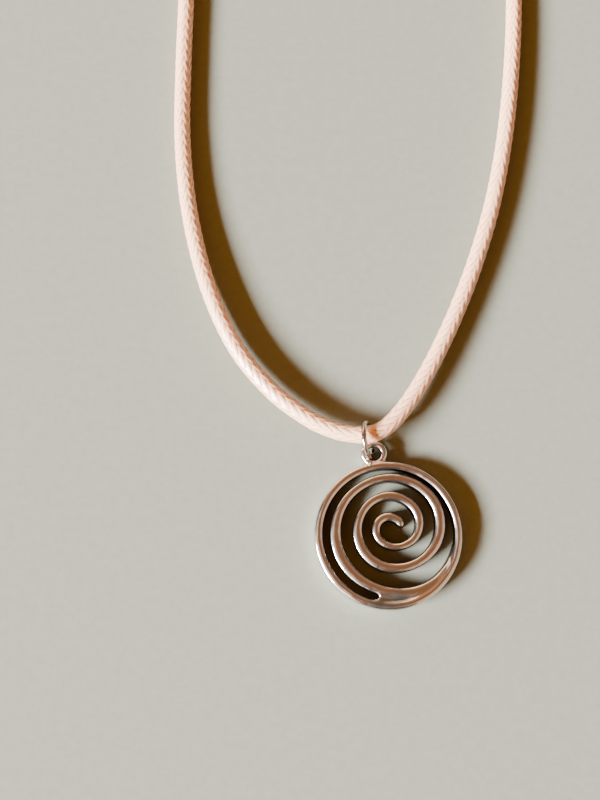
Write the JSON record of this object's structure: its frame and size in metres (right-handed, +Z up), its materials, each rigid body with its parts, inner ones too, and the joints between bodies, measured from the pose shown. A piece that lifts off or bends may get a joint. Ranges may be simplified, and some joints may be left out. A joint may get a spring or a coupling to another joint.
{
  "type": "pendant necklace",
  "caption": "Open spiral pendant in cast silver-coloured metal with a domed rim, a long curved slot and a small ear, hung by a jump ring on a pale waxed cord closed by a barrel clasp.",
  "frame": {"origin": "middle of the foot of the box round the disc and the jump ring, on the surface that everything lies on", "axes": "+Z up from the surface, out of the disc's face; +Y from the disc towards the jump ring, up the picture; +X to the right of the picture"},
  "size_m": [0.0436, 0.1763, 0.0045],
  "materials": {
    "cast_silver_alloy": "cast and tumbled, bright crests, darkened recesses",
    "plated_wire": "bright drawn wire",
    "waxed_cord": "braided and waxed, soft sheen",
    "clasp_metal": "plain, satin"
  },
  "bodies": {
    "root": {"pendant": "cast_silver_alloy", "jump_ring": "plated_wire", "cord": "waxed_cord", "clasp": "clasp_metal"}
  },
  "joints": []
}
